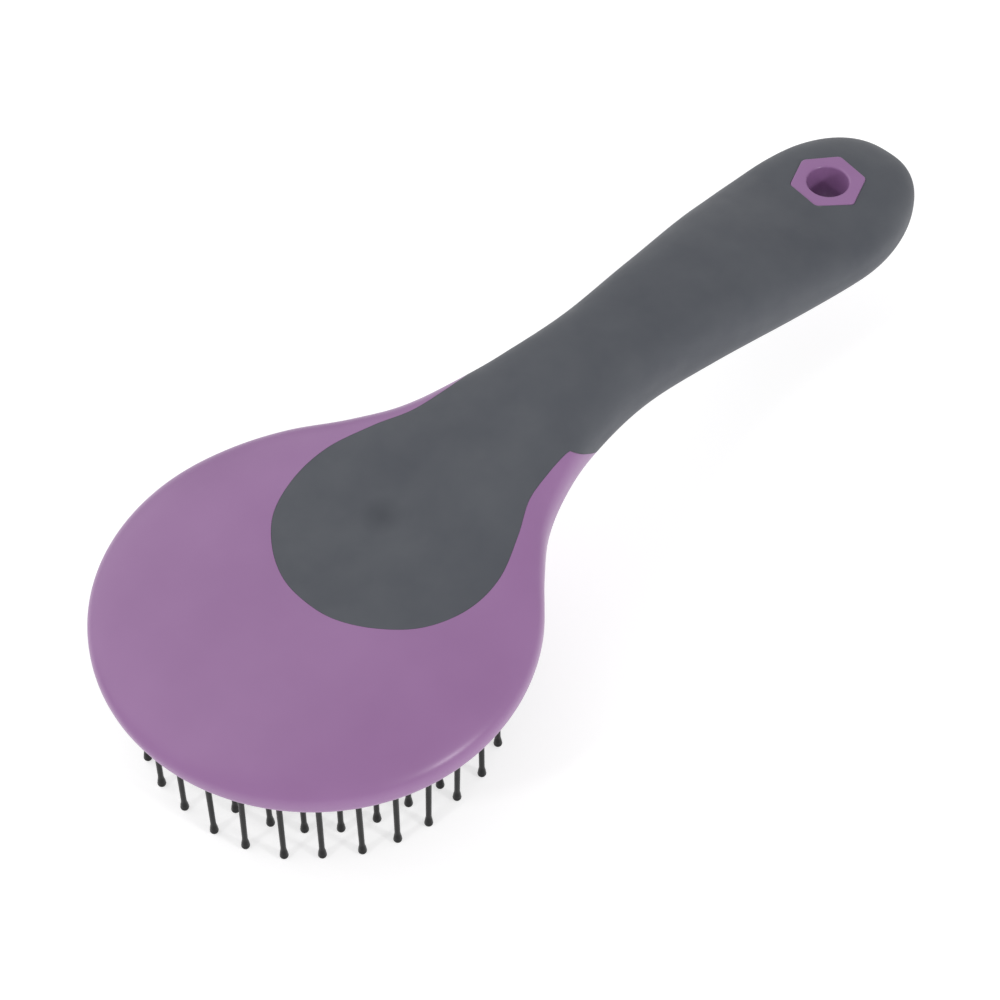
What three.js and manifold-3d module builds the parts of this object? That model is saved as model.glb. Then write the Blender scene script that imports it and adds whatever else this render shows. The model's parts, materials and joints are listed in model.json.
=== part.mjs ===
// Mane and tail pin brush: a round cushioned pin head on a soft-grip handle.
// Millimetres, +Z up. The handle runs along +X and the pins point down.
// The head frame has its origin at the head's centre, in the plane of the widest rim.

import * as THREE from 'three';
import { mergeVertices } from 'three/addons/utils/BufferGeometryUtils.js';
import Module from 'manifold-3d';

const wasm = await Module();
wasm.setup();

// ---- Driving dimensions -------------------------------------------------

const HEAD_RADIUS = 50;
const HEAD_FRONT = 48.7;
const BODY_END = 197.4;
const CAP_START = 163;
const HEAD_CIRCLE_END = 30;
const CROWN_HEIGHT = 8;
const HEAD_DEPTH = 8.5;
const CROWN_POWER = 2.6;
const PLAN_CAP_POWER = 2.25;
const CAP_POWER = 2.4;

// Stations along X: half width, height of the widest edge, rise of the crown above that edge,
// depth of the underside below it, and how square the section is above and below the edge.
const HALF_WIDTH = [[20, 45.8], [30, 40], [40, 30.8], [48, 24.4], [58, 19.9], [72, 16],
  [92, 13.9], [115, 15.6], [140, 18.4], [163, 20.2], [186, 20.2]];
const EDGE_HEIGHT = [[-40, 0], [-15, 0], [5, 0.5], [20, 1.1], [35, 2.4], [50, 6], [65, 9.2],
  [80, 10.1], [100, 9.3], [125, 6.5], [150, 3.1], [172, 0.3], [190, -0.9], [208, -0.9]];
const CROWN_RISE = [[-20, 8], [0, 8], [20, 7.6], [40, 9.8], [58, 9.4], [75, 11.2], [92, 11.5],
  [115, 12], [138, 12], [150, 10.6], [163, 9.3], [172, 10.1], [180, 11.2], [196, 11.6]];
const UNDERSIDE_DEPTH = [[-20, 8.5], [0, 8.5], [20, 9.9], [35, 12], [50, 12.6], [62, 12.3],
  [75, 11.5], [100, 11.5]];
const TOP_POWER = [[-30, 3.05], [0, 3.05], [50, 3.2], [72, 2.4], [110, 2.58], [150, 2.58]];
const UNDERSIDE_POWER = [[0, 2.4], [20, 2.2], [40, 2], [55, 1.9], [75, 2.58], [100, 2.58]];

const GAP = 0.3;
const GRIP_THICKNESS = 2.2;

// The sleeve's front edge crosses this point of the side view, slanting back as it goes down.
const SLEEVE_EDGE = [63.6, 15];
const SLEEVE_SLANT = 46 * Math.PI / 180;
// The tongue lies above a plane that climbs towards the neck through these two points.
const TONGUE_FLOOR = [[20, 3], [65.5, 14.3]];

// Half of the tongue's outline seen from above, from its tip on the crown to the neck.
const TONGUE_TIP = -2.5;
const TONGUE_HALF = [[-1.4, 8], [2.9, 16], [10, 22.9], [20, 26.7], [30, 26.6], [40, 22.6],
  [48, 18.4], [56, 16.7], [62, 16]];

const HANG_HOLE_X = 172;
const HANG_HOLE_RADIUS = 5.1;
const BOSS_RADIUS = 9.5;
const BOSS_TURN = -9 * Math.PI / 180;
const BOSS_TOP = 10.2;
const BOSS_BOTTOM = -11.2;

const CHAMBER_RADIUS = 43.2;
const CHAMBER_TOP = 4;
const CHAMBER_SHOULDER = 0;
const MOUTH_RADIUS = 44.4;
const GROOVE_RADIUS = 45.9;
const GROOVE_LOW = -3.4;
const GROOVE_HIGH = -1.4;

const CUSHION_RADIUS = MOUTH_RADIUS - GAP;
const CUSHION_EDGE_HEIGHT = -4.4;
const CUSHION_DOME = 3.6;
const CUSHION_THICKNESS = 1.4;
const CUSHION_BEAD_INNER = 43.1;
const VENT_RADIUS = 0.8;

const PIN_TIP_HEIGHT = -31.2;
const PIN_BALL_RADIUS = 1;
const PIN_BALL_HEIGHT = 1.1;
const PIN_NECK_HEIGHT = 3.4;
const PIN_STEM_RADIUS = 0.66;
const PIN_FLANGE_RADIUS = 1.5;
const PIN_FLANGE_HEIGHT = 0.8;
const PIN_SIDES = 6;
const STRIP_HALF_WIDTH = 0.85;
const STRIP_END_ANGLE = 1.6;

// Facet counts, and how far cutting tools run past what they cut.
const SKIN_SIDES = 32;
const SKIN_STATIONS = 40;
const CORE_SIDES = 20;
const CORE_STATIONS = 26;
const CHAMBER_SIDES = 40;
const CHAMBER_STEPS = 6;
const CUSHION_SIDES = 36;
const CUSHION_STEPS = 4;
const HOLE_SIDES = 32;
const TOOL_REACH = 40;

// Concentric rings of pins, each with its first pin on the -X side. In the outer rings the pins
// share short carrier strips, so many to a strip.
const PIN_RINGS = [
  { name: 'pin_ring_1', radius: 41.5, count: 31, perStrip: 4 },
  { name: 'pin_ring_2', radius: 34.8, count: 27, perStrip: 4 },
  { name: 'pin_ring_3', radius: 27.8, count: 20, perStrip: 4 },
  { name: 'pin_ring_4', radius: 20.8, count: 15, perStrip: 1 },
  { name: 'pin_ring_5', radius: 13.8, count: 10, perStrip: 1 },
  { name: 'pin_ring_6', radius: 6.8, count: 5, perStrip: 1 },
];

// The brush's frame has its origin under the middle of its length, level with the pin tips.
const FRAME_SHIFT = new THREE.Vector3(-(BODY_END - HEAD_FRONT) / 2, 0, -PIN_TIP_HEIGHT);

// ---- Materials ----------------------------------------------------------

const MATERIALS = {
  purplePlastic: () => new THREE.MeshStandardMaterial({ color: 0x99759f, roughness: 0.42 }),
  greySoftTouch: () => new THREE.MeshStandardMaterial({ color: 0x5b5e63, roughness: 0.75 }),
  blackRubber: () => new THREE.MeshStandardMaterial({ color: 0x202124, roughness: 0.7 }),
  blackPlastic: () => new THREE.MeshStandardMaterial({ color: 0x2a2c2e, roughness: 0.4 }),
};

// ---- Helpers ------------------------------------------------------------

// A smooth function through the stations, held level past the first and the last.
function smoothThrough(stations) {
  const slopes = stations.map((station, i) => {
    const before = stations[Math.max(i - 1, 0)];
    const after = stations[Math.min(i + 1, stations.length - 1)];
    return (after[1] - before[1]) / (after[0] - before[0]);
  });
  return (x) => {
    if (x <= stations[0][0]) return stations[0][1];
    if (x >= stations.at(-1)[0]) return stations.at(-1)[1];
    const i = stations.findIndex((station) => station[0] > x) - 1;
    const span = stations[i + 1][0] - stations[i][0];
    const t = (x - stations[i][0]) / span;
    const h = t * t * (3 - 2 * t);
    const bendStart = t * (1 - t) * (1 - t) * span * slopes[i];
    const bendEnd = t * t * (t - 1) * span * slopes[i + 1];
    return stations[i][1] * (1 - h) + stations[i + 1][1] * h + bendStart + bendEnd;
  };
}

function toManifold(geometry) {
  const bare = geometry.clone();
  bare.deleteAttribute('normal');
  bare.deleteAttribute('uv');
  const merged = mergeVertices(bare, 1e-4);
  return new wasm.Manifold(new wasm.Mesh({
    numProp: 3,
    vertProperties: Float32Array.from(merged.attributes.position.array),
    triVerts: Uint32Array.from(merged.index.array),
  }));
}

function toGeometry(solid) {
  const mesh = solid.getMesh();
  const geometry = new THREE.BufferGeometry();
  geometry.setAttribute('position', new THREE.BufferAttribute(mesh.vertProperties, 3));
  geometry.setIndex(new THREE.BufferAttribute(mesh.triVerts, 1));
  return geometry;
}

// A prism on an outline in plan, from one height to another.
function prism(shape, low, high, curveSegments = 2) {
  const geometry = new THREE.ExtrudeGeometry(shape, {
    depth: high - low, bevelEnabled: false, steps: 1, curveSegments,
  });
  geometry.translate(0, 0, low);
  return toManifold(geometry);
}

function turnedSolid(profile, segments) {
  const points = profile.map(([r, z]) => new THREE.Vector2(r, z));
  const geometry = new THREE.LatheGeometry(points, segments);
  geometry.rotateX(Math.PI / 2);
  return geometry;
}

// ---- Outer form ---------------------------------------------------------

const halfWidth = smoothThrough(HALF_WIDTH);
const edgeHeight = smoothThrough(EDGE_HEIGHT);
const crownRise = smoothThrough(CROWN_RISE);
const undersideDepth = smoothThrough(UNDERSIDE_DEPTH);
const topPower = smoothThrough(TOP_POWER);
const undersidePower = smoothThrough(UNDERSIDE_POWER);

// The section at one place along the handle, drawn in by `inset` all round.
function sectionAt(x, inset) {
  const end = BODY_END - inset;
  const front = HEAD_FRONT - inset;
  let width = halfWidth(x);
  if (x < HEAD_CIRCLE_END) width = Math.sqrt(Math.max(0, HEAD_RADIUS ** 2 - x * x));
  width -= inset;
  let rise = crownRise(x) - inset;
  let depth = undersideDepth(x) - inset;
  if (x < 0) {
    const along = Math.min(1, -x / front);
    width = (HEAD_RADIUS - inset) * Math.sqrt(1 - along * along);
    rise = (CROWN_HEIGHT - inset) * Math.sqrt(1 - along ** CROWN_POWER);
    depth = (HEAD_DEPTH - inset) * (1 - along ** CAP_POWER) ** (1 / CAP_POWER);
  }
  if (x > CAP_START) {
    const along = Math.min(1, (x - CAP_START) / (end - CAP_START));
    width *= (1 - along ** PLAN_CAP_POWER) ** (1 / PLAN_CAP_POWER);
    const flattening = (1 - along ** CAP_POWER) ** (1 / CAP_POWER);
    rise *= flattening;
    depth *= flattening;
  }
  return { width, rise, depth, edge: edgeHeight(x) };
}

function sectionPoint(section, x, angle) {
  const c = Math.cos(angle);
  const s = Math.sin(angle);
  const power = s >= 0 ? topPower(x) : undersidePower(x);
  const y = section.width * Math.sign(c) * Math.abs(c) ** (2 / power);
  const reach = s >= 0 ? section.rise : -section.depth;
  return [x, y, section.edge + reach * Math.abs(s) ** (2 / power)];
}

// The whole outer form as one closed skin, drawn in by `inset`.
function outerForm(inset, sides, stationCount) {
  const front = -(HEAD_FRONT - inset);
  const end = BODY_END - inset;
  const stations = [];
  const capSteps = Math.round(stationCount / 4);
  for (let i = 1; i <= capSteps; i += 1) {
    stations.push(front * Math.cos((i / capSteps) * Math.PI / 2));
  }
  const middleSteps = stationCount - 2 * capSteps;
  for (let i = 1; i <= middleSteps; i += 1) stations.push((i / middleSteps) * CAP_START);
  for (let i = 1; i < capSteps; i += 1) {
    const along = Math.sin((i / capSteps) * Math.PI / 2);
    stations.push(CAP_START + (end - CAP_START) * along);
  }
  const vertices = [[front, 0, edgeHeight(front)]];
  for (const x of stations) {
    const section = sectionAt(x, inset);
    for (let j = 0; j < sides; j += 1) {
      vertices.push(sectionPoint(section, x, (j / sides) * Math.PI * 2));
    }
  }
  vertices.push([end, 0, edgeHeight(end)]);
  const last = vertices.length - 1;
  const at = (ring, j) => 1 + ring * sides + (j % sides);
  const faces = [];
  for (let j = 0; j < sides; j += 1) {
    faces.push(0, at(0, j + 1), at(0, j));
    for (let ring = 0; ring < stations.length - 1; ring += 1) {
      faces.push(at(ring, j), at(ring, j + 1), at(ring + 1, j + 1));
      faces.push(at(ring, j), at(ring + 1, j + 1), at(ring + 1, j));
    }
    faces.push(last, at(stations.length - 1, j), at(stations.length - 1, j + 1));
  }
  const geometry = new THREE.BufferGeometry();
  geometry.setAttribute('position', new THREE.Float32BufferAttribute(vertices.flat(), 3));
  geometry.setIndex(faces);
  return toManifold(geometry);
}

// ---- Grip region: tongue over the crown and sleeve round the handle ------

function tongueShape(grow) {
  const half = [[TONGUE_TIP, 0], ...TONGUE_HALF];
  const right = half.map(([x, y], i) => {
    const before = i === 0 ? [half[1][0], -half[1][1]] : half[i - 1];
    const after = half[Math.min(i + 1, half.length - 1)];
    const along = new THREE.Vector2(after[0] - before[0], after[1] - before[1]).normalize();
    return new THREE.Vector2(x - grow * along.y, y + grow * along.x);
  });
  const left = right.slice(1).reverse().map((p) => new THREE.Vector2(p.x, -p.y));
  const outline = [...left, ...right];
  const shape = new THREE.Shape();
  shape.moveTo(SLEEVE_EDGE[0] + TOOL_REACH, outline[0].y);
  shape.lineTo(outline[0].x, outline[0].y);
  shape.splineThru(outline.slice(1));
  shape.lineTo(SLEEVE_EDGE[0] + TOOL_REACH, right.at(-1).y);
  shape.closePath();
  return shape;
}

// Everything on one side of a plane that stands across the brush. The plane passes `back` behind
// a point of the side view, and `turn` swings it about Y from facing -X.
function sideOfPlane([x, z], turn, back) {
  const size = 2 * (BODY_END + TOOL_REACH);
  const block = new THREE.BoxGeometry(size, size, size);
  block.translate(size / 2 - back, 0, 0);
  block.rotateY(turn);
  block.translate(x, 0, z);
  return toManifold(block);
}

function gripRegion(grow) {
  const [low, high] = TONGUE_FLOOR;
  const climb = Math.atan2(high[1] - low[1], high[0] - low[0]);
  const aboveFloor = sideOfPlane(low, -Math.PI / 2 - climb, grow);
  const tongue = prism(tongueShape(grow), -TOOL_REACH, TOOL_REACH).intersect(aboveFloor);
  return tongue.add(sideOfPlane(SLEEVE_EDGE, -SLEEVE_SLANT, grow));
}

function bossPrism(radius, low, high) {
  const shape = new THREE.Shape();
  for (let i = 0; i < 6; i += 1) {
    const angle = BOSS_TURN + Math.PI / 6 + (i * Math.PI) / 3;
    const x = HANG_HOLE_X + radius * Math.cos(angle);
    const y = radius * Math.sin(angle);
    if (i === 0) shape.moveTo(x, y);
    else shape.lineTo(x, y);
  }
  shape.closePath();
  return prism(shape, low, high);
}

function hangHole() {
  const length = 2 * TOOL_REACH;
  const hole = new THREE.CylinderGeometry(HANG_HOLE_RADIUS, HANG_HOLE_RADIUS, length, HOLE_SIDES);
  hole.rotateX(Math.PI / 2);
  hole.translate(HANG_HOLE_X, 0, 0);
  return toManifold(hole);
}

// ---- Head recess --------------------------------------------------------

function chamber() {
  const profile = [[0, -TOOL_REACH], [MOUTH_RADIUS, -TOOL_REACH], [MOUTH_RADIUS, GROOVE_LOW],
    [GROOVE_RADIUS, GROOVE_LOW], [GROOVE_RADIUS, GROOVE_HIGH], [CHAMBER_RADIUS, GROOVE_HIGH]];
  for (let i = 0; i < CHAMBER_STEPS; i += 1) {
    const angle = (i / CHAMBER_STEPS) * Math.PI / 2;
    const rise = (CHAMBER_TOP - CHAMBER_SHOULDER) * Math.sin(angle);
    profile.push([CHAMBER_RADIUS * Math.cos(angle), CHAMBER_SHOULDER + rise]);
  }
  profile.push([0, CHAMBER_TOP]);
  return toManifold(turnedSolid(profile, CHAMBER_SIDES));
}

// ---- Cushion and pins ---------------------------------------------------

function cushionOuterHeight(r) {
  return CUSHION_EDGE_HEIGHT - CUSHION_DOME * (1 - (r / CUSHION_RADIUS) ** 2);
}

function pinSeatHeight(r) {
  return cushionOuterHeight(r + PIN_FLANGE_RADIUS) + CUSHION_THICKNESS + GAP;
}

function cushionBlank() {
  const outer = [];
  const inner = [];
  for (let i = 0; i <= CUSHION_STEPS; i += 1) {
    const along = i / CUSHION_STEPS;
    const outerRadius = VENT_RADIUS + along * (CUSHION_RADIUS - VENT_RADIUS);
    outer.push([outerRadius, cushionOuterHeight(outerRadius)]);
    const innerRadius = VENT_RADIUS + along * (CUSHION_BEAD_INNER - VENT_RADIUS);
    inner.push([innerRadius, cushionOuterHeight(innerRadius) + CUSHION_THICKNESS]);
  }
  const bead = [[CUSHION_RADIUS, GROOVE_LOW + GAP], [GROOVE_RADIUS - GAP, GROOVE_LOW + GAP],
    [GROOVE_RADIUS - GAP, GROOVE_HIGH - GAP], [CUSHION_BEAD_INNER, GROOVE_HIGH - GAP]];
  const profile = [...outer, ...bead, ...inner.reverse(), outer[0]];
  return toManifold(turnedSolid(profile, CUSHION_SIDES));
}

function ringAngles(ring) {
  const angles = [];
  for (let i = 0; i < ring.count; i += 1) {
    angles.push(Math.PI * (1 + (2 * i) / ring.count));
  }
  return angles;
}

function pinHole(ring, angle) {
  const radius = (PIN_STEM_RADIUS + GAP) / Math.cos(Math.PI / PIN_SIDES);
  const hole = new THREE.CylinderGeometry(radius, radius, TOOL_REACH, PIN_SIDES);
  hole.rotateX(Math.PI / 2);
  hole.translate(ring.radius * Math.cos(angle), ring.radius * Math.sin(angle), 0);
  return toManifold(hole);
}

function cushion() {
  let solid = cushionBlank();
  for (const ring of PIN_RINGS) {
    for (const angle of ringAngles(ring)) solid = solid.subtract(pinHole(ring, angle));
  }
  return toGeometry(solid);
}

// A pin along Z, from its ball tip up to `top`, with or without its own root flange.
function pinGeometry(top, flanged) {
  const profile = [[0, PIN_TIP_HEIGHT], [PIN_BALL_RADIUS, PIN_TIP_HEIGHT + PIN_BALL_HEIGHT],
    [PIN_STEM_RADIUS, PIN_TIP_HEIGHT + PIN_NECK_HEIGHT]];
  if (flanged) {
    profile.push([PIN_STEM_RADIUS, top - PIN_FLANGE_HEIGHT]);
    profile.push([PIN_FLANGE_RADIUS, top - PIN_FLANGE_HEIGHT], [PIN_FLANGE_RADIUS, top]);
  } else {
    profile.push([PIN_STEM_RADIUS, top]);
  }
  profile.push([0, top]);
  return turnedSolid(profile, PIN_SIDES);
}

function pinMesh(ring, angle, name) {
  const top = pinSeatHeight(ring.radius) + PIN_FLANGE_HEIGHT;
  const solid = toGeometry(toManifold(pinGeometry(top, true)));
  const mesh = new THREE.Mesh(solid, MATERIALS.blackPlastic());
  mesh.position.set(ring.radius * Math.cos(angle), ring.radius * Math.sin(angle), 0);
  mesh.name = name;
  return mesh;
}

// Neighbouring pins that stand on one curved carrier strip behind the cushion.
function pinStripMesh(ring, angles, name) {
  const seat = pinSeatHeight(ring.radius);
  const endAngle = THREE.MathUtils.degToRad(STRIP_END_ANGLE);
  const from = angles[0] - endAngle;
  const to = angles.at(-1) + endAngle;
  const outline = new THREE.Shape();
  outline.absarc(0, 0, ring.radius + STRIP_HALF_WIDTH, from, to, false);
  outline.absarc(0, 0, ring.radius - STRIP_HALF_WIDTH, to, from, true);
  let solid = prism(outline, seat, seat + PIN_FLANGE_HEIGHT, angles.length);
  for (const angle of angles) {
    const pin = pinGeometry(seat + PIN_FLANGE_HEIGHT / 2, false);
    pin.translate(ring.radius * Math.cos(angle), ring.radius * Math.sin(angle), 0);
    solid = solid.add(toManifold(pin));
  }
  const mesh = new THREE.Mesh(toGeometry(solid), MATERIALS.blackPlastic());
  mesh.name = name;
  return mesh;
}

function pinMeshes(ring) {
  const angles = ringAngles(ring);
  const meshes = [];
  for (let first = 0; first < ring.count; first += ring.perStrip) {
    const share = angles.slice(first, first + ring.perStrip);
    const number = String(first / ring.perStrip + 1).padStart(2, '0');
    if (ring.perStrip === 1) meshes.push(pinMesh(ring, share[0], `${ring.name}_pin_${number}`));
    else meshes.push(pinStripMesh(ring, share, `${ring.name}_strip_${number}`));
  }
  return meshes;
}

// ---- Brush body and grip ------------------------------------------------

function brushBody() {
  const skin = outerForm(0, SKIN_SIDES, SKIN_STATIONS);
  const core = outerForm(GRIP_THICKNESS + GAP, CORE_SIDES, CORE_STATIONS);
  const boss = bossPrism(BOSS_RADIUS - GAP, BOSS_BOTTOM, BOSS_TOP);
  const solid = skin.subtract(gripRegion(GAP)).add(core).add(boss);
  return toGeometry(solid.subtract(chamber()).subtract(hangHole()));
}

function gripOvermould() {
  const skin = outerForm(0, SKIN_SIDES, SKIN_STATIONS).intersect(gripRegion(0));
  const hollow = outerForm(GRIP_THICKNESS, CORE_SIDES, CORE_STATIONS);
  const window = bossPrism(BOSS_RADIUS, -TOOL_REACH, TOOL_REACH);
  return toGeometry(skin.subtract(hollow).subtract(window));
}

function namedMesh(name, geometry, material) {
  const mesh = new THREE.Mesh(geometry, material);
  mesh.name = name;
  return mesh;
}

const brush = new THREE.Group();
brush.position.copy(FRAME_SHIFT);
brush.add(namedMesh('brush_body', brushBody(), MATERIALS.purplePlastic()));
brush.add(namedMesh('grip_overmould', gripOvermould(), MATERIALS.greySoftTouch()));
brush.add(namedMesh('rubber_cushion', cushion(), MATERIALS.blackRubber()));
for (const ring of PIN_RINGS) {
  for (const mesh of pinMeshes(ring)) brush.add(mesh);
}

const part = new THREE.Group();
part.add(brush);

export default part;
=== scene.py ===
import json
import math
import random

import bpy
import numpy as np
from mathutils import Matrix, Vector


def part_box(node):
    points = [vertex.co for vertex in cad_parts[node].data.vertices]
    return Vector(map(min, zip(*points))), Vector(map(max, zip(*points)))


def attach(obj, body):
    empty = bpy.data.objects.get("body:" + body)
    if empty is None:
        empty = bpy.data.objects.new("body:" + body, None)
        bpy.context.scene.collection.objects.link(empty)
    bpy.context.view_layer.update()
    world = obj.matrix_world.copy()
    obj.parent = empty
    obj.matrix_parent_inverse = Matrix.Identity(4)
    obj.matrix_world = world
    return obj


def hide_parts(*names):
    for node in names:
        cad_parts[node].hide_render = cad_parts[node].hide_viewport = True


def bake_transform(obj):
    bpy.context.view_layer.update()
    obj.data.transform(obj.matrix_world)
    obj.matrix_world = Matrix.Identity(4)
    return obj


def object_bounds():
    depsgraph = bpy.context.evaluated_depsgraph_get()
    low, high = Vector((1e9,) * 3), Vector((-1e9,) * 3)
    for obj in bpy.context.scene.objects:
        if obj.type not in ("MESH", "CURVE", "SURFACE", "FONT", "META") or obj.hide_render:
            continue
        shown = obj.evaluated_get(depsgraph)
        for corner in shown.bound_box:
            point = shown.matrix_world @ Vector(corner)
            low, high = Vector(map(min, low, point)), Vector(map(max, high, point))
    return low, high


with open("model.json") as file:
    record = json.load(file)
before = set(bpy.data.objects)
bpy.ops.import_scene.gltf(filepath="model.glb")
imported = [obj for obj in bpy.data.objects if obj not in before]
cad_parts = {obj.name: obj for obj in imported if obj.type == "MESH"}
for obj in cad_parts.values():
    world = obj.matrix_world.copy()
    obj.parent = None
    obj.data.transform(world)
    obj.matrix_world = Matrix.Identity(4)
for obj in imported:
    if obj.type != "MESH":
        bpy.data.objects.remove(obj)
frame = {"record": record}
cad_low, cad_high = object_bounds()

# ---- Driving dimensions, in millimetres in the head's own frame ----------
# The head frame has its origin at the head's centre, in the plane of the widest rim.

HEAD_RADIUS = 50.0
HEAD_FRONT = 48.7
BODY_END = 197.4
CAP_START = 163.0
HEAD_CIRCLE_END = 30.0
CROWN_HEIGHT = 8.0
HEAD_DEPTH = 8.5
CROWN_POWER = 2.6
PLAN_CAP_POWER = 2.25
CAP_POWER = 2.4

HALF_WIDTH = [(20, 45.8), (30, 40), (40, 30.8), (48, 24.4), (58, 19.9), (72, 16), (92, 13.9),
              (115, 15.6), (140, 18.4), (163, 20.2), (186, 20.2)]
EDGE_HEIGHT = [(-40, 0), (-15, 0), (5, 0.5), (20, 1.1), (35, 2.4), (50, 6), (65, 9.2), (80, 10.1),
               (100, 9.3), (125, 6.5), (150, 3.1), (172, 0.3), (190, -0.9), (208, -0.9)]
CROWN_RISE = [(-20, 8), (0, 8), (20, 7.6), (40, 9.8), (58, 9.4), (75, 11.2), (92, 11.5), (115, 12),
              (138, 12), (150, 10.6), (163, 9.3), (172, 10.1), (180, 11.2), (196, 11.6)]
UNDERSIDE_DEPTH = [(-20, 8.5), (0, 8.5), (20, 9.9), (35, 12), (50, 12.6), (62, 12.3), (75, 11.5),
                   (100, 11.5)]
TOP_POWER = [(-30, 3.05), (0, 3.05), (50, 3.2), (72, 2.4), (110, 2.58), (150, 2.58)]
UNDERSIDE_POWER = [(0, 2.4), (20, 2.2), (40, 2), (55, 1.9), (75, 2.58), (100, 2.58)]

SEAM = 0.06
GRIP_THICKNESS = 2.2
SLEEVE_EDGE = (63.6, 15.0)
SLEEVE_SLANT = math.radians(46)
TONGUE_FLOOR = [(20.0, 3.0), (65.5, 14.3)]
TONGUE_HALF = [(-2.5, 0), (-1.4, 8), (2.9, 16), (10, 22.9), (20, 26.7), (30, 26.6), (40, 22.6),
               (48, 18.4), (56, 16.7), (62, 16)]
TOOL_REACH = 40.0

DIMPLE_PLACE = (25.2, 4.2)
DIMPLE_RADIUS = 3.4
DIMPLE_DEPTH = 0.6
# Painted shade: a darker patch painted into the grip's colour over the thumb dimple, standing in for
# the dimple's shading.
DIMPLE_PAINTED_SHADE_RADIUS = 5.6
DIMPLE_PAINTED_SHADE_STRENGTH = 0.7

HANG_HOLE_X = 172.0
HANG_HOLE_RADIUS = 5.1
BOSS_RADIUS = 9.5
BOSS_CORNER = 1.4
BOSS_TURN = math.radians(-9)
BOSS_ROUND = 0.35
BOSS_TOP = 10.2
BOSS_BOTTOM = -11.2
HOLE_ROUND = 0.6
HOLE_FLARE = 0.6
HOLE_STEP = 0.001

CHAMBER_RADIUS = 43.2
CHAMBER_TOP = 4.0
CHAMBER_SHOULDER = 0.0
MOUTH_RADIUS = 44.4
GROOVE_RADIUS = 45.9
GROOVE_LOW = -3.4
GROOVE_HIGH = -1.4
BEAD_INNER = 43.3
BEAD_CLEARANCE = 0.15

CUSHION_RADIUS = 44.1
CUSHION_EDGE = -4.4
CUSHION_DOME = 3.6
CUSHION_THICKNESS = 1.4
CUSHION_SKIN = 0.6
COLLAR_HEIGHT = 0.8
COLLAR_RADIUS = 1.45

PIN_TIP = -31.2
PIN_BALL = 1.0
PIN_BALL_SWEEP = math.radians(112)
PIN_NECK = 2.4
PIN_STEM = 0.64
PIN_TAPER = 0.05
PIN_CONE = 1.6
PIN_FLANGE = 1.5
PIN_FLANGE_HEIGHT = 0.8
PIN_FLANGE_ROUND = 0.1
PIN_SEAT_GAP = 0.3
PIN_RINGS = [(41.5, 31), (34.8, 27), (27.8, 20), (20.8, 15), (13.8, 10), (6.8, 5)]
PIN_LEAN_SPREAD = 0.7

# How finely each form is divided: sides round it, and stations along it.

SKIN_SIDES = 208
SKIN_STATIONS = 280
CORE_SIDES = 96
CORE_STATIONS = 140
HOLE_SIDES = 96
CHAMBER_SIDES = 160
PIN_SIDES = 16

MM = 0.001
cushion_low, cushion_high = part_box("rubber_cushion")
HEAD_ORIGIN = np.array([(cushion_low.x + cushion_high.x) / 2, 0.0,
                        cad_low.z - PIN_TIP * MM])


# ---- Helpers -------------------------------------------------------------

def smooth_through(stations):
    """A smooth function through the stations, held level past the first and the last."""
    x, y = np.array(stations, float).T
    count = len(x)
    before = np.maximum(np.arange(count) - 1, 0)
    after = np.minimum(np.arange(count) + 1, count - 1)
    slope = (y[after] - y[before]) / (x[after] - x[before])

    def value(at):
        at = np.clip(np.asarray(at, float), x[0], x[-1])
        i = np.clip(np.searchsorted(x, at, side="right") - 1, 0, count - 2)
        span = x[i + 1] - x[i]
        t = (at - x[i]) / span
        h = t * t * (3 - 2 * t)
        bend = t * (1 - t) ** 2 * span * slope[i] + t * t * (t - 1) * span * slope[i + 1]
        return y[i] * (1 - h) + y[i + 1] * h + bend

    return value


def head_point(x, y, z):
    """A point of the head frame, in the scene's metres."""
    return Vector(np.array([x, y, z]) * MM + HEAD_ORIGIN)


def new_object(name, vertices, faces, smooth=True):
    """A mesh object from vertices in head-frame millimetres."""
    mesh = bpy.data.meshes.new(name)
    placed = np.asarray(vertices, float) * MM + HEAD_ORIGIN
    mesh.from_pydata(placed.tolist(), [], [list(f) for f in faces])
    mesh.update()
    obj = bpy.data.objects.new(name, mesh)
    bpy.context.scene.collection.objects.link(obj)
    if smooth:
        smooth_faces(obj)
    return obj


def smooth_faces(obj, angle=35):
    obj.data.polygons.foreach_set("use_smooth", [True] * len(obj.data.polygons))
    obj.data.set_sharp_from_angle(angle=math.radians(angle))


def rings_mesh(rings, closed_ends=True):
    """Faces between rings of equal point counts; each end closes on a single point or a flat face."""
    vertices = [point for ring in rings for point in ring]
    faces = []
    start = 0
    for ring, following in zip(rings, rings[1:]):
        here, there = len(ring), len(following)
        after = start + here
        if here == 1:
            faces += [(start, after + (j + 1) % there, after + j) for j in range(there)]
        elif there == 1:
            faces += [(start + j, start + (j + 1) % here, after) for j in range(here)]
        else:
            for j in range(here):
                k = (j + 1) % here
                faces.append((start + j, start + k, after + k, after + j))
        start = after
    if closed_ends and len(rings[0]) > 1:
        faces.append(tuple(range(len(rings[0])))[::-1])
    if closed_ends and len(rings[-1]) > 1:
        faces.append(tuple(start + j for j in range(len(rings[-1]))))
    return vertices, faces


def turned(profile, sides, centre=(0.0, 0.0)):
    """A solid of revolution about a vertical axis; profile runs from the bottom up as (r, z)."""
    rings = []
    for r, z in profile:
        if r < 1e-6:
            rings.append([(centre[0], centre[1], z)])
            continue
        ring = []
        for j in range(sides):
            a = 2 * math.pi * j / sides
            ring.append((centre[0] + r * math.cos(a), centre[1] + r * math.sin(a), z))
        rings.append(ring)
    return rings_mesh(rings)


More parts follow.
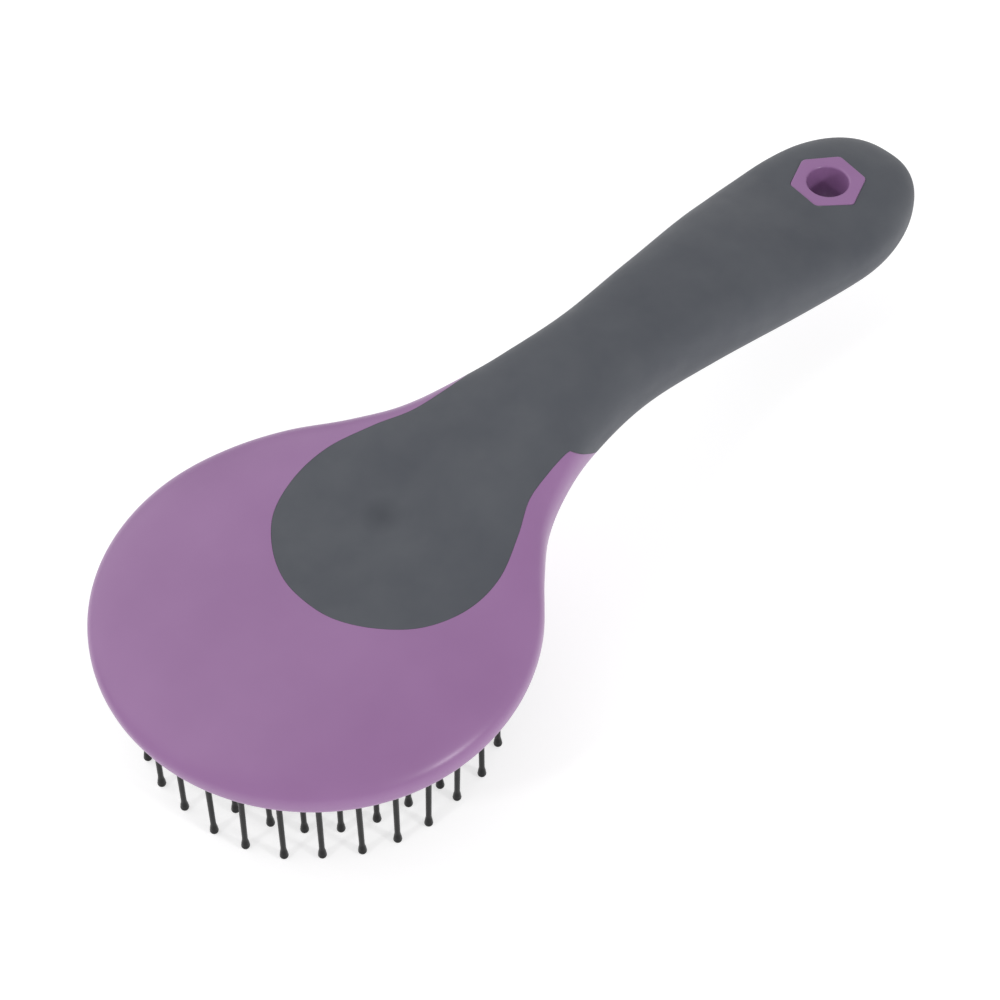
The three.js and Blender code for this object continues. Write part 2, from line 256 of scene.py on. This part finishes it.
def combine(obj, tool, operation):
    """Joins, cuts or intersects obj with tool, and removes the tool."""
    modifier = obj.modifiers.new("combine", "BOOLEAN")
    modifier.operation = operation
    modifier.solver = "MANIFOLD"
    modifier.object = tool
    graph = bpy.context.evaluated_depsgraph_get()
    graph.update()
    made = bpy.data.meshes.new_from_object(obj.evaluated_get(graph))
    obj.modifiers.clear()
    old = obj.data
    obj.data = made
    bpy.data.meshes.remove(old)
    bpy.data.objects.remove(tool)
    return obj


# ---- Outer form ----------------------------------------------------------

half_width = smooth_through(HALF_WIDTH)
edge_height = smooth_through(EDGE_HEIGHT)
crown_rise = smooth_through(CROWN_RISE)
underside_depth = smooth_through(UNDERSIDE_DEPTH)
top_power = smooth_through(TOP_POWER)
underside_power = smooth_through(UNDERSIDE_POWER)


def section(x, inset):
    """Half width, crown rise, underside depth and edge height at x, drawn in by inset."""
    end = BODY_END - inset
    front = HEAD_FRONT - inset
    width = float(half_width(x)) - inset
    if x < HEAD_CIRCLE_END:
        width = math.sqrt(max(0.0, HEAD_RADIUS**2 - x * x)) - inset
    rise = float(crown_rise(x)) - inset
    depth = float(underside_depth(x)) - inset
    if x < 0:
        along = min(1.0, -x / front)
        width = (HEAD_RADIUS - inset) * math.sqrt(1 - along * along)
        rise = (CROWN_HEIGHT - inset) * math.sqrt(1 - along**CROWN_POWER)
        depth = (HEAD_DEPTH - inset) * (1 - along**CAP_POWER) ** (1 / CAP_POWER)
    if x > CAP_START:
        along = min(1.0, (x - CAP_START) / (end - CAP_START))
        width *= (1 - along**PLAN_CAP_POWER) ** (1 / PLAN_CAP_POWER)
        flattening = (1 - along**CAP_POWER) ** (1 / CAP_POWER)
        rise *= flattening
        depth *= flattening
    return width, rise, depth, float(edge_height(x))


def outer_form(name, inset, sides, station_count):
    """The whole outer form as one closed skin, drawn in by inset."""
    front, end = -(HEAD_FRONT - inset), BODY_END - inset
    cap_steps = station_count // 4
    middle_steps = station_count - 2 * cap_steps
    quarter = math.pi / 2
    stations = [front * math.cos(i / cap_steps * quarter) for i in range(1, cap_steps + 1)]
    stations += [i / middle_steps * CAP_START for i in range(1, middle_steps + 1)]
    stations += [CAP_START + (end - CAP_START) * math.sin(i / cap_steps * quarter)
                 for i in range(1, cap_steps)]
    angles = np.arange(sides) / sides * 2 * math.pi
    cosine, sine = np.cos(angles), np.sin(angles)
    cosine[np.abs(cosine) < 1e-12] = 0.0
    rings = [[(front, 0.0, float(edge_height(front)))]]
    for x in stations:
        width, rise, depth, edge = section(x, inset)
        power = np.where(sine >= 0, top_power(x), underside_power(x))
        reach = np.where(sine >= 0, rise, -depth)
        y = width * np.sign(cosine) * np.abs(cosine) ** (2 / power)
        z = edge + reach * np.abs(sine) ** (2 / power)
        rings.append([(x, a, b) for a, b in zip(y.tolist(), z.tolist())])
    rings.append([(end, 0.0, float(edge_height(end)))])
    return new_object(name, *rings_mesh(rings))


# ---- Grip region, hang boss and head recess --------------------------------

def tongue_outline(grow):
    """The tongue's outline in plan, from the neck round the tip and back, grown outwards."""
    points = np.array(TONGUE_HALF, float)
    points = np.concatenate([points[:0:-1] * [1, -1], points])
    before = np.concatenate([points[:1], points[:-1]])
    after = np.concatenate([points[1:], points[-1:]])
    slope = (after - before) / 2
    t = np.linspace(0, 1, 17)[:-1, None]
    pieces = []
    for i in range(len(points) - 1):
        h = t * t * (3 - 2 * t)
        bend = t * (1 - t) ** 2 * slope[i] + t * t * (t - 1) * slope[i + 1]
        pieces.append(points[i] * (1 - h) + points[i + 1] * h + bend)
    outline = np.concatenate([*pieces, points[-1:]])
    tangent = np.gradient(outline, axis=0)
    tangent /= np.linalg.norm(tangent, axis=1)[:, None]
    outline = outline + grow * np.stack([-tangent[:, 1], tangent[:, 0]], -1)
    reach = SLEEVE_EDGE[0] + TOOL_REACH
    return np.concatenate([[[reach, outline[0][1]]], outline, [[reach, outline[-1][1]]]])


def prism(name, outline, low, high):
    """A prism on a plan outline that runs clockwise or anticlockwise."""
    x, y = np.array(outline, float).T
    area = np.sum(x * np.roll(y, -1) - np.roll(x, -1) * y)
    points = list(zip(x, y)) if area > 0 else list(zip(x, y))[::-1]
    return new_object(name, *rings_mesh([[(a, b, low) for a, b in points],
                                         [(a, b, high) for a, b in points]]), smooth=False)


def side_of_plane(point, turn, back):
    """Everything on one side of a plane across the brush, passing back behind the point.

    The point is in the side view, and turn swings the plane about Y from facing -X."""
    size = BODY_END + TOOL_REACH
    corners = [(-back, -size), (2 * size, -size), (2 * size, size), (-back, size)]
    turned_corners = [(point[0] + u * math.cos(turn) + w * math.sin(turn),
                       point[1] - u * math.sin(turn) + w * math.cos(turn)) for u, w in corners]
    rings = [[(x, y, z) for x, z in turned_corners] for y in (size, -size)]
    return new_object("half_space", *rings_mesh(rings), smooth=False)


def grip_region(grow):
    low, high = TONGUE_FLOOR
    climb = math.atan2(high[1] - low[1], high[0] - low[0])
    region = prism("grip_region", tongue_outline(grow), -TOOL_REACH, TOOL_REACH)
    combine(region, side_of_plane(low, -math.pi / 2 - climb, grow), "INTERSECT")
    return combine(region, side_of_plane(SLEEVE_EDGE, -SLEEVE_SLANT, grow), "UNION")


def rounded_hexagon(radius, corner, steps=6):
    """A hexagon with a corner pointing along Y and rounded corners, as a plan outline."""
    points = []
    for i in range(6):
        middle = BOSS_TURN + math.pi / 6 + i * math.pi / 3
        reach = radius - corner / math.cos(math.pi / 6)
        for j in range(steps + 1):
            a = middle + (j / steps - 0.5) * math.pi / 3
            points.append((HANG_HOLE_X + reach * math.cos(middle) + corner * math.cos(a),
                           reach * math.sin(middle) + corner * math.sin(a)))
    return points


def hang_boss():
    """The six-sided boss, with its top and bottom edges rounded over."""
    rings = []
    steps = 5
    for side, height in ((-1, BOSS_BOTTOM), (1, BOSS_TOP)):
        arc = []
        for i in range(steps + 1):
            a = i / steps * math.pi / 2
            inset = BOSS_ROUND * (1 - math.cos(a))
            z = height - side * BOSS_ROUND * (1 - math.sin(a))
            hexagon = rounded_hexagon(BOSS_RADIUS - SEAM - inset, BOSS_CORNER)
            arc.append([(x, y, z) for x, y in hexagon])
        rings += arc[::-1] if side < 0 else arc
    return new_object("hang_boss", *rings_mesh(rings))


def hang_hole():
    """The hole's own shape, flaring out at both mouths so that it leaves rounded edges."""
    flare = HANG_HOLE_RADIUS + HOLE_ROUND + HOLE_FLARE
    profile = [(flare, -TOOL_REACH), (flare, BOSS_BOTTOM - HOLE_STEP)]
    steps = 8
    for side, height in ((-1, BOSS_BOTTOM), (1, BOSS_TOP)):
        arc = []
        for i in range(steps + 1):
            a = i / steps * math.pi / 2
            arc.append((HANG_HOLE_RADIUS + HOLE_ROUND * (1 - math.cos(a)),
                        height - side * HOLE_ROUND * (1 - math.sin(a))))
        profile += arc[::-1] if side < 0 else arc
    profile += [(flare, BOSS_TOP + HOLE_STEP), (flare, TOOL_REACH)]
    return new_object("hang_hole", *turned(profile, HOLE_SIDES, (HANG_HOLE_X, 0.0)))


def chamber():
    """The recess in the head: its mouth, the groove for the bead and a domed roof."""
    profile = [(0, -TOOL_REACH), (MOUTH_RADIUS, -TOOL_REACH), (MOUTH_RADIUS, GROOVE_LOW),
               (GROOVE_RADIUS, GROOVE_LOW), (GROOVE_RADIUS, GROOVE_HIGH),
               (CHAMBER_RADIUS, GROOVE_HIGH)]
    steps = 16
    for i in range(steps):
        a = i / steps * math.pi / 2
        profile.append((CHAMBER_RADIUS * math.cos(a),
                        CHAMBER_SHOULDER + (CHAMBER_TOP - CHAMBER_SHOULDER) * math.sin(a)))
    profile.append((0, CHAMBER_TOP))
    return new_object("chamber", *turned(profile, CHAMBER_SIDES))


# ---- Pieces ----------------------------------------------------------------

def build_body():
    body = outer_form("brush_body_skin", 0.0, SKIN_SIDES, SKIN_STATIONS)
    combine(body, grip_region(SEAM), "DIFFERENCE")
    core = outer_form("core", GRIP_THICKNESS + SEAM, CORE_SIDES, CORE_STATIONS)
    combine(body, core, "UNION")
    combine(body, hang_boss(), "UNION")
    combine(body, chamber(), "DIFFERENCE")
    combine(body, hang_hole(), "DIFFERENCE")
    smooth_faces(body)
    return body


def press_dimple(grip):
    """Sinks a soft thumb dimple into the top of the tongue."""
    count = len(grip.data.vertices)
    points = np.empty(count * 3)
    grip.data.vertices.foreach_get("co", points)
    points = points.reshape(-1, 3)
    place = (points - HEAD_ORIGIN) / MM
    distance = np.hypot(place[:, 0] - DIMPLE_PLACE[0], place[:, 1] - DIMPLE_PLACE[1])
    points[:, 2] -= DIMPLE_DEPTH * MM * np.exp(-((distance / DIMPLE_RADIUS) ** 2))
    grip.data.vertices.foreach_set("co", points.ravel())
    grip.data.update()


def build_grip():
    grip = outer_form("grip_skin", 0.0, SKIN_SIDES, SKIN_STATIONS)
    combine(grip, grip_region(0.0), "INTERSECT")
    hollow = outer_form("hollow", GRIP_THICKNESS, CORE_SIDES, CORE_STATIONS)
    combine(grip, hollow, "DIFFERENCE")
    window = prism("window", rounded_hexagon(BOSS_RADIUS, BOSS_CORNER), -TOOL_REACH, TOOL_REACH)
    combine(grip, window, "DIFFERENCE")
    press_dimple(grip)
    smooth_faces(grip)
    return grip


def cushion_height(r):
    """Height of the cushion's outer face at radius r."""
    return CUSHION_EDGE - CUSHION_DOME * (1 - (r / CUSHION_RADIUS) ** 2)


def pin_places():
    """Ring number, radius and angle of every pin."""
    for number, (radius, count) in enumerate(PIN_RINGS, start=1):
        for i in range(count):
            yield number, radius, math.pi * (1 + 2 * i / count)


def build_cushion():
    """The domed membrane, with a low collar moulded round each pin."""
    sides, steps, inner_stride = 300, 84, 6
    radii = np.linspace(0, CUSHION_RADIUS, steps + 1)[1:]
    angles = np.arange(sides) / sides * 2 * math.pi
    grid_r, grid_a = np.meshgrid(radii, angles, indexing="ij")
    x, y = grid_r * np.cos(grid_a), grid_r * np.sin(grid_a)
    z = cushion_height(grid_r)
    for _, radius, angle in pin_places():
        distance = np.hypot(x - radius * math.cos(angle), y - radius * math.sin(angle))
        z = z - COLLAR_HEIGHT * np.exp(-((distance / COLLAR_RADIUS) ** 4))
    outer = [list(zip(x[i].tolist(), y[i].tolist(), z[i].tolist())) for i in range(steps)]
    inner_z = cushion_height(grid_r) + CUSHION_SKIN
    inner = [list(zip(x[i].tolist(), y[i].tolist(), inner_z[i].tolist()))
             for i in range(0, steps - 2, inner_stride)]
    bead_radius = GROOVE_RADIUS - BEAD_CLEARANCE
    bead_low, bead_high = GROOVE_LOW + BEAD_CLEARANCE, GROOVE_HIGH - BEAD_CLEARANCE
    bead = []
    for r, height in ((CUSHION_RADIUS, bead_low), (bead_radius, bead_low),
                      (bead_radius, bead_high), (BEAD_INNER, bead_high)):
        bead.append([(r * math.cos(a), r * math.sin(a), height) for a in angles])
    rings = [[(0.0, 0.0, cushion_height(0))], *outer, *bead, *inner[::-1],
             [(0.0, 0.0, cushion_height(0) + CUSHION_SKIN)]]
    return new_object("rubber_cushion_skin", *rings_mesh(rings))


def pin_profile(top):
    """Radius and height above the ball tip, from the tip up to the root flange."""
    ball_steps, neck_steps = 8, 6
    profile = [(0.0, 0.0)]
    for i in range(1, ball_steps + 1):
        a = i / ball_steps * PIN_BALL_SWEEP
        profile.append((PIN_BALL * math.sin(a), PIN_BALL * (1 - math.cos(a))))
    waist_r, waist_z = profile[-1]
    for i in range(1, neck_steps + 1):
        t = i / neck_steps
        ease = t * t * (3 - 2 * t)
        profile.append((waist_r + (PIN_STEM - waist_r) * ease, waist_z + PIN_NECK * t))
    flange_low = top - PIN_FLANGE_HEIGHT
    flange_face = PIN_FLANGE - PIN_FLANGE_ROUND
    profile += [(PIN_STEM + PIN_TAPER, top - PIN_CONE), (flange_face, flange_low),
                (PIN_FLANGE, flange_low + PIN_FLANGE_ROUND), (PIN_FLANGE, top - PIN_FLANGE_ROUND),
                (flange_face, top), (0.0, top)]
    return profile


def build_pins(number):
    """One ring of pins, each leaning a little its own way, as moulded pins in rubber do."""
    chance = random.Random(number)
    radius, count = PIN_RINGS[number - 1]
    seat = cushion_height(radius + PIN_FLANGE) + CUSHION_THICKNESS + PIN_SEAT_GAP
    top = seat + PIN_FLANGE_HEIGHT - PIN_TIP
    vertices, faces = [], []
    for i in range(count):
        angle = math.pi * (1 + 2 * i / count)
        lean_x = chance.gauss(0, PIN_LEAN_SPREAD)
        lean_y = chance.gauss(0, PIN_LEAN_SPREAD)
        tilt = Matrix.Rotation(math.radians(lean_y), 3, "X")
        tilt = tilt @ Matrix.Rotation(math.radians(-lean_x), 3, "Y")
        root = Vector((radius * math.cos(angle), radius * math.sin(angle), seat))
        own, own_faces = turned(pin_profile(top), PIN_SIDES)
        base = len(vertices)
        for x, y, z in own:
            point = tilt @ Vector((x, y, z - top + PIN_FLANGE_HEIGHT)) + root
            vertices.append((point.x, point.y, max(point.z, PIN_TIP)))
        faces += [tuple(base + v for v in face) for face in own_faces]
    return new_object(f"pins_ring_{number}", vertices, faces)


# ---- Materials ---------------------------------------------------------------

WORN_EDGE = (0.57, 0.68)
WEAR_AMOUNT = 0.7
WEAR_PATCH_MM = 2.5


def srgb(red, green, blue):
    """A linear colour from 0 to 255 display values."""
    return [((c / 255) / 12.92 if c <= 10 else ((c / 255 + 0.055) / 1.055) ** 2.4)
            for c in (red, green, blue)] + [1.0]


def noise(tree, coordinates, size_mm, detail=3.0):
    """Noise with features of about that size."""
    node = tree.nodes.new("ShaderNodeTexNoise")
    node.inputs["Scale"].default_value = 1 / (size_mm * MM)
    node.inputs["Detail"].default_value = detail
    tree.links.new(coordinates, node.inputs["Vector"])
    return node.outputs["Fac"]


def spread(tree, value, low, high, source_low=0.3, source_high=0.7):
    """The value carried from its source range onto low to high."""
    node = tree.nodes.new("ShaderNodeMapRange")
    node.inputs["From Min"].default_value = source_low
    node.inputs["From Max"].default_value = source_high
    node.inputs["To Min"].default_value = low
    node.inputs["To Max"].default_value = high
    tree.links.new(value, node.inputs["Value"])
    return node.outputs["Result"]


def mixed(tree, factor, first, second):
    """First blended into second by the factor; each is a colour or a socket."""
    node = tree.nodes.new("ShaderNodeMix")
    node.data_type = "RGBA"
    tree.links.new(factor, node.inputs["Factor"])
    for socket, colour in ((node.inputs[6], first), (node.inputs[7], second)):
        if isinstance(colour, list):
            socket.default_value = colour
        else:
            tree.links.new(colour, socket)
    return node.outputs[2]


def moulded(name, dark, light, worn, roughness, grain_mm, grain_height_mm, patch_mm, settings):
    """A moulded surface: patchy colour, rubbed edges, uneven gloss and a fine grain."""
    material = bpy.data.materials.new(name)
    material.use_nodes = True
    tree = material.node_tree
    shader = tree.nodes["Principled BSDF"]
    place = tree.nodes.new("ShaderNodeTexCoord").outputs["Object"]
    patches = spread(tree, noise(tree, place, patch_mm), 0.0, 1.0)
    colour = mixed(tree, patches, dark, light)
    geometry = tree.nodes.new("ShaderNodeNewGeometry")
    edges = spread(tree, geometry.outputs["Pointiness"], 0.0, 1.0, *WORN_EDGE)
    rubbed = tree.nodes.new("ShaderNodeMath")
    rubbed.operation = "MULTIPLY"
    tree.links.new(edges, rubbed.inputs[0])
    tree.links.new(spread(tree, noise(tree, place, WEAR_PATCH_MM), 0.0, WEAR_AMOUNT),
                   rubbed.inputs[1])
    colour = mixed(tree, rubbed.outputs[0], colour, worn)
    tree.links.new(colour, shader.inputs["Base Color"])
    low, high = roughness
    tree.links.new(spread(tree, noise(tree, place, patch_mm / 3), low, high),
                   shader.inputs["Roughness"])
    bump = tree.nodes.new("ShaderNodeBump")
    bump.inputs["Strength"].default_value = 1.0
    bump.inputs["Distance"].default_value = grain_height_mm * MM
    tree.links.new(noise(tree, place, grain_mm, 2.0), bump.inputs["Height"])
    tree.links.new(bump.outputs["Normal"], shader.inputs["Normal"])
    for socket, value in settings.items():
        shader.inputs[socket].default_value = value
    return material


def painted_shade_patch(material, place, radius, strength, shade):
    """Paints shade into the base colour as a round darker patch, fading out at its radius in
    millimetres.
    """
    tree = material.node_tree
    base = tree.nodes["Principled BSDF"].inputs["Base Color"]
    distance = tree.nodes.new("ShaderNodeVectorMath")
    distance.operation = "DISTANCE"
    distance.inputs[1].default_value = place
    tree.links.new(tree.nodes.new("ShaderNodeTexCoord").outputs["Object"], distance.inputs[0])
    fade = spread(tree, distance.outputs["Value"], strength, 0.0, 0.0, radius * MM)
    tree.links.new(mixed(tree, fade, base.links[0].from_socket, shade), base)


purple_plastic = moulded(
    "purple_plastic", dark=srgb(149, 108, 155), light=srgb(155, 114, 161),
    worn=srgb(178, 146, 184), roughness=(0.29, 0.35), grain_mm=1.8, grain_height_mm=0.004,
    patch_mm=24, settings={"Specular IOR Level": 0.45})
grey_soft_touch = moulded(
    "grey_soft_touch", dark=srgb(79, 82, 89), light=srgb(87, 90, 96),
    worn=srgb(112, 114, 116), roughness=(0.62, 0.74), grain_mm=0.3, grain_height_mm=0.012,
    patch_mm=16, settings={"Specular IOR Level": 0.35, "Sheen Weight": 0.12,
                           "Sheen Roughness": 0.4})
# Painted shade: the thumb dimple's shading, painted as a darker patch into the grey grip's colour.
painted_shade_patch(grey_soft_touch, head_point(*DIMPLE_PLACE, CROWN_HEIGHT), DIMPLE_PAINTED_SHADE_RADIUS,
            DIMPLE_PAINTED_SHADE_STRENGTH, shade=srgb(64, 67, 74))
black_rubber = moulded(
    "black_rubber", dark=srgb(38, 38, 40), light=srgb(50, 50, 52),
    worn=srgb(60, 60, 61), roughness=(0.6, 0.75), grain_mm=0.4, grain_height_mm=0.015,
    patch_mm=9, settings={"Specular IOR Level": 0.4})
black_plastic = moulded(
    "black_plastic", dark=srgb(6, 6, 7), light=srgb(14, 14, 15),
    worn=srgb(60, 62, 63), roughness=(0.29, 0.38), grain_mm=1.2, grain_height_mm=0.002,
    patch_mm=6, settings={"Specular IOR Level": 0.28})


def finish_piece(obj, material, body, nodes):
    """Gives a piece its material in a single slot, hides the CAD parts it stands for, and ties it to
    its body when one is given.
    """
    obj.data.materials.clear()
    obj.data.materials.append(material)
    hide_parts(*nodes)
    if body:
        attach(obj, body)
    return obj


# ---- Stage ---------------------------------------------------------------

CAMERA_AZIMUTH = -45.96
CAMERA_ELEVATION = 51.14
CAMERA_PLACE = (-234.2, -282.4, 493.2)
CAMERA_LENS = 101.5
WORLD_LIGHT = 0.55
FLOOR_TONE = 0.55
FLOOR_GLOW = 0.66
FLOOR_HALF = 3.0


def add_camera():
    data = bpy.data.cameras.new("camera")
    data.lens = CAMERA_LENS
    data.sensor_width = 36.0
    camera = bpy.data.objects.new("camera", data)
    bpy.context.scene.collection.objects.link(camera)
    a, e = math.radians(CAMERA_AZIMUTH), math.radians(CAMERA_ELEVATION)
    back = Vector((math.sin(a) * math.cos(e), -math.cos(a) * math.cos(e), math.sin(e)))
    turn = (-back).to_track_quat("-Z", "Y").to_matrix()
    camera.matrix_world = Matrix.Translation(head_point(*CAMERA_PLACE)) @ turn.to_4x4()
    data.clip_start = 0.01
    bpy.context.scene.camera = camera


def add_area_light(name, place, aim, size, power, mirrored=True):
    """A disc of light at place, facing aim; its reflection shows only if mirrored."""
    data = bpy.data.lights.new(name, "AREA")
    data.shape = "DISK"
    data.size = size
    data.energy = power
    light = bpy.data.objects.new(name, data)
    bpy.context.scene.collection.objects.link(light)
    light.visible_glossy = mirrored
    light.matrix_world = Matrix.Translation(place) @ (aim - place).to_track_quat(
        "-Z", "Y").to_matrix().to_4x4()


def add_floor():
    mesh = bpy.data.meshes.new("floor")
    corners = [(-FLOOR_HALF, -FLOOR_HALF), (FLOOR_HALF, -FLOOR_HALF),
               (FLOOR_HALF, FLOOR_HALF), (-FLOOR_HALF, FLOOR_HALF)]
    mesh.from_pydata([(x, y, cad_low.z) for x, y in corners], [], [(0, 1, 2, 3)])
    floor = bpy.data.objects.new("floor", mesh)
    bpy.context.scene.collection.objects.link(floor)
    material = bpy.data.materials.new("floor")
    material.use_nodes = True
    shader = material.node_tree.nodes["Principled BSDF"]
    shader.inputs["Base Color"].default_value = (FLOOR_TONE, FLOOR_TONE, FLOOR_TONE, 1.0)
    shader.inputs["Roughness"].default_value = 0.9
    shader.inputs["Emission Color"].default_value = (1.0, 1.0, 1.0, 1.0)
    shader.inputs["Emission Strength"].default_value = FLOOR_GLOW
    mesh.materials.append(material)


def add_world():
    """An even white surround, dimmer as a light than it looks behind the brush."""
    world = bpy.data.worlds.new("world")
    world.use_nodes = True
    tree = world.node_tree
    lighting = tree.nodes["Background"]
    lighting.inputs["Color"].default_value = (1.0, 1.0, 1.0, 1.0)
    lighting.inputs["Strength"].default_value = WORLD_LIGHT
    backdrop = tree.nodes.new("ShaderNodeBackground")
    backdrop.inputs["Color"].default_value = (1.0, 1.0, 1.0, 1.0)
    choice = tree.nodes.new("ShaderNodeMixShader")
    tree.links.new(tree.nodes.new("ShaderNodeLightPath").outputs["Is Camera Ray"], choice.inputs[0])
    tree.links.new(lighting.outputs[0], choice.inputs[1])
    tree.links.new(backdrop.outputs[0], choice.inputs[2])
    tree.links.new(choice.outputs[0], tree.nodes["World Output"].inputs["Surface"])
    bpy.context.scene.world = world


# ---- Assembly --------------------------------------------------------------

bodies = frame["record"]["behaviour"]["bodies"]
add_camera()

finish_piece(build_body(), purple_plastic, "body", ["brush_body"])
finish_piece(build_grip(), grey_soft_touch, "body", ["grip_overmould"])
cushion = finish_piece(build_cushion(), black_rubber, None, ["rubber_cushion"])
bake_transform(cushion)
for ring in range(1, len(PIN_RINGS) + 1):
    finish_piece(build_pins(ring), black_plastic, f"pins_{ring}",
                 bodies[f"pins_{ring}"])

add_floor()
add_world()
centre = head_point(60, 0, 0)
near_rim = head_point(-7, -48, 3.5)
add_area_light("overhead", centre + Vector((-0.2, 1.1, 0.95)), centre,
               size=2.0, power=8.2)
add_area_light("front", near_rim + Vector((0.17, -0.84, 0.51)) * 0.9, near_rim,
               size=0.16, power=2.1)
add_area_light("left", centre + Vector((-0.95, 0.05, 0.75)), centre,
               size=0.12, power=2.0, mirrored=False)
bpy.context.scene.view_settings.view_transform = "Standard"
